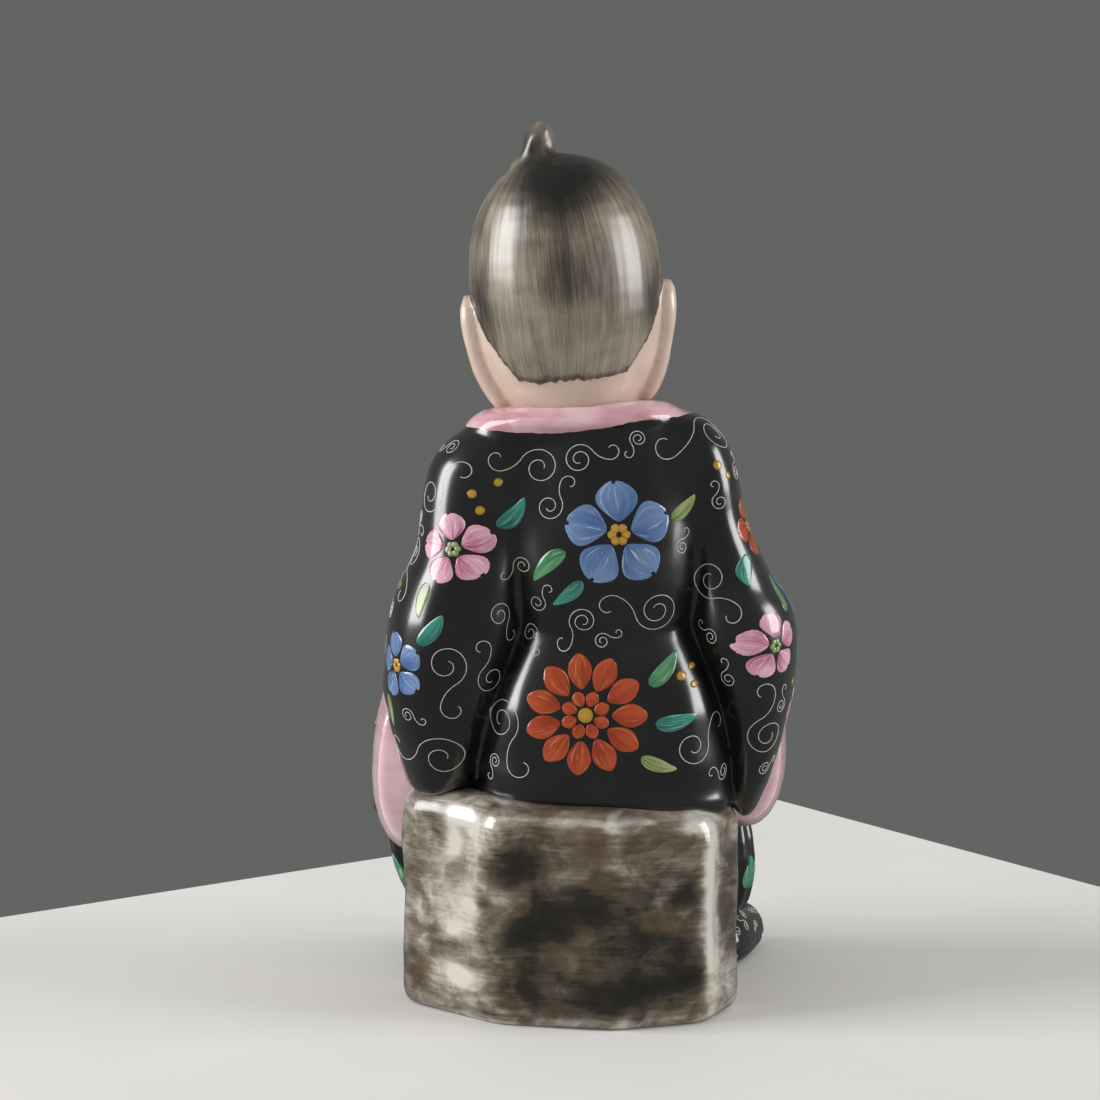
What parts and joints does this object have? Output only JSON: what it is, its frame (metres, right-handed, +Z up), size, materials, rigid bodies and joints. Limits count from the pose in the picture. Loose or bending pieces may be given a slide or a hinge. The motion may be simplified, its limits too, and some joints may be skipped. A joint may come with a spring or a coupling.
{
  "type": "ceramic figurine",
  "caption": "Glazed ceramic figurine of a robed figure with a topknot, sitting on a rock with hands on knees, made of luted castings, for display on a shelf.",
  "frame": {"origin": "middle of the bounding box, on the surface that the rock and the shoes stand on", "axes": "+Z up, -Y the way the figure faces, +X the figure's left"},
  "size_m": [0.0798, 0.0718, 0.1646],
  "materials": {
    "rock": "gloss",
    "robe": "gloss",
    "pink_trim": "gloss",
    "flesh": "gloss",
    "hair": "gloss",
    "trousers": "gloss",
    "shoes": "gloss"
  },
  "bodies": {
    "root": {"rock_seat": "rock", "robe_skirt": "robe", "robe_torso": "robe", "robe_left_panel": "robe", "robe_right_panel": "robe", "left_sleeve": "robe", "right_sleeve": "robe", "left_cuff": "pink_trim", "right_cuff": "pink_trim", "collar": "pink_trim", "lapel": "pink_trim", "head": "flesh", "left_ear": "flesh", "right_ear": "flesh", "left_hand": "flesh", "right_hand": "flesh", "topknot": "hair", "left_trouser_leg": "trousers", "right_trouser_leg": "trousers", "left_shoe": "shoes", "right_shoe": "shoes"}
  },
  "joints": []
}
